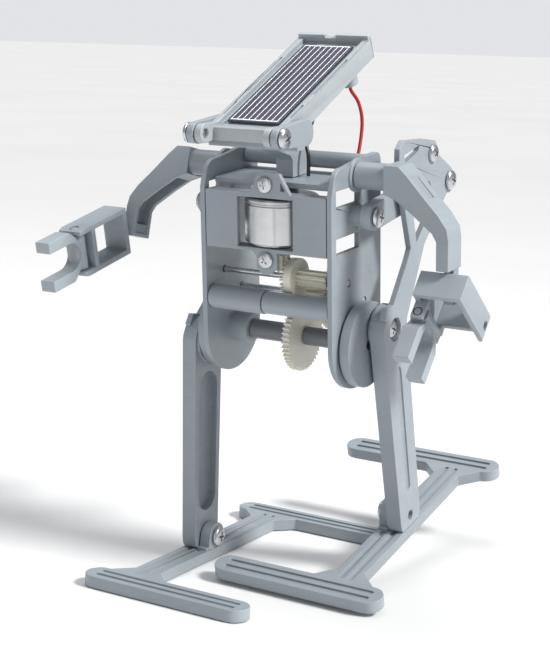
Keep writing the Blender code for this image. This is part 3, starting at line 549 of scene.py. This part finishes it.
def wire(node, route, material):
    """A limp insulated wire from the panel's underside down to the deck."""
    path = [in_world(point) for point in smooth_path([Vector(p) for p in route], 8)]
    curve = bpy.data.curves.new(node, "CURVE")
    curve.dimensions = "3D"
    curve.bevel_depth = WIRE_DIAMETER / 2 * MM
    curve.bevel_resolution = 5
    curve.use_fill_caps = True
    spline = curve.splines.new("POLY")
    spline.points.add(len(path) - 1)
    for point, place in zip(spline.points, path):
        point.co = (*place, 1)
    source = bpy.data.objects.new("route", curve)
    bpy.context.scene.collection.objects.link(source)
    bpy.context.view_layer.update()
    mesh = bpy.data.meshes.new_from_object(source.evaluated_get(bpy.context.evaluated_depsgraph_get()))
    bpy.data.objects.remove(source, do_unlink=True)
    shape = bmesh.new()
    shape.from_mesh(mesh)
    bmesh.ops.remove_doubles(shape, verts=shape.verts, dist=0.000005)
    bmesh.ops.recalc_face_normals(shape, faces=shape.faces)
    shape.to_mesh(mesh)
    shape.free()
    mesh.shade_smooth()
    piece = new_piece(node + "_insulation", mesh, material)
    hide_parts(node)
    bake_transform(piece)


def mouldings():
    """Every other CAD node, with softened edges and its own finish."""
    for node in sorted(BODY_OF):
        if node in REBUILT_NODES or node.endswith("_screw"):
            continue
        paint = PAINT_OF_SLOT[SLOT_OF[node]]
        # The up-facing panel frame takes the lighter copy of its plastic: painted light
        if node in PAINTED_LIT_NODES:
            paint = PLASTIC_PAINTED_LIT
        finish_node(node, paint, FINE_EDGE_RADIUS if node.endswith(FINE_ENDINGS) else EDGE_RADIUS)


# ---------------------------------------------------------------- stage


def area_light(name, place, target, size, power, colour=(1, 1, 1)):
    data = bpy.data.lights.new(name, "AREA")
    data.shape = "RECTANGLE"
    data.size, data.size_y = size
    data.energy = power
    data.color = colour
    lamp = bpy.data.objects.new(name, data)
    lamp.matrix_world = aim(Vector(place) - Vector(target), place)
    lamp.visible_camera = False
    bpy.context.scene.collection.objects.link(lamp)


def studio():
    """The pale floor, the sun, two soft lamps and the sky."""
    shape = bmesh.new()
    bmesh.ops.create_grid(shape, x_segments=2, y_segments=2, size=FLOOR_HALF_SIZE)
    mesh = bpy.data.meshes.new("studio_floor")
    shape.to_mesh(mesh)
    shape.free()
    floor = new_piece("studio_floor", mesh, floor_material())
    floor.location.z = -FLOOR_DROP
    sun = bpy.data.lights.new("key", "SUN")
    sun.energy = SUN_ENERGY
    sun.angle = SUN_WIDTH
    sun.color = (1.0, 0.985, 0.96)
    lamp = bpy.data.objects.new("key", sun)
    lamp.matrix_world = aim(Vector(SUN_DIRECTION), Vector((0.5, 0.0, 0.6)))
    bpy.context.scene.collection.objects.link(lamp)
    area_light("top", (-0.15, 0.10, 0.80), (0, 0, 0.10), (0.5, 0.5), 2.6)
    area_light("fill", (-0.10, -0.80, 0.25), (0, 0, 0.09), (0.25, 0.6), 0.35, (0.93, 0.96, 1.0))
    world = bpy.data.worlds.new("studio")
    world.use_nodes = True
    tree = world.node_tree
    background = tree.nodes["Background"]
    background.inputs["Color"].default_value = (0.95, 0.965, 1.0, 1.0)
    seen = tree.nodes.new("ShaderNodeLightPath")
    strength = tree.nodes.new("ShaderNodeMapRange")
    strength.inputs["To Min"].default_value = WORLD_LIGHT
    strength.inputs["To Max"].default_value = WORLD_SEEN
    tree.links.new(seen.outputs["Is Camera Ray"], strength.inputs["Value"])
    tree.links.new(strength.outputs["Result"], background.inputs["Strength"])
    bpy.context.scene.world = world
    bpy.context.scene.view_settings.view_transform = "Standard"


def camera():
    """The camera at the photograph's viewing angle, turned from the torso frame into the world."""
    az, el = CAMERA_AZIMUTH, CAMERA_ELEVATION
    back = Vector((math.sin(az) * math.cos(el), -math.cos(az) * math.cos(el), math.sin(el)))
    right = Vector((math.cos(az), math.sin(az), 0))
    up = back.cross(right)
    c, s = math.cos(CAMERA_ROLL), math.sin(CAMERA_ROLL)
    right, up = right * c - up * s, up * c + right * s
    turn = Matrix((right, up, back)).transposed().to_4x4()
    data = bpy.data.cameras.new("camera")
    data.lens = CAMERA_LENS
    data.shift_x, data.shift_y = CAMERA_SHIFT
    data.clip_start, data.clip_end = 0.02, 20.0
    eye = bpy.data.objects.new("camera", data)
    bpy.context.scene.collection.objects.link(eye)
    eye.matrix_world = TORSO @ Matrix.Translation(Vector(CAMERA_PLACE) * MM) @ turn
    bpy.context.scene.camera = eye


camera()
wire("red_wire", RED_ROUTE, RED_PAINT)
wire("black_wire", BLACK_ROUTE, BLACK_PAINT)
mouldings()
screws()
motor()
solar_cell()
studio()
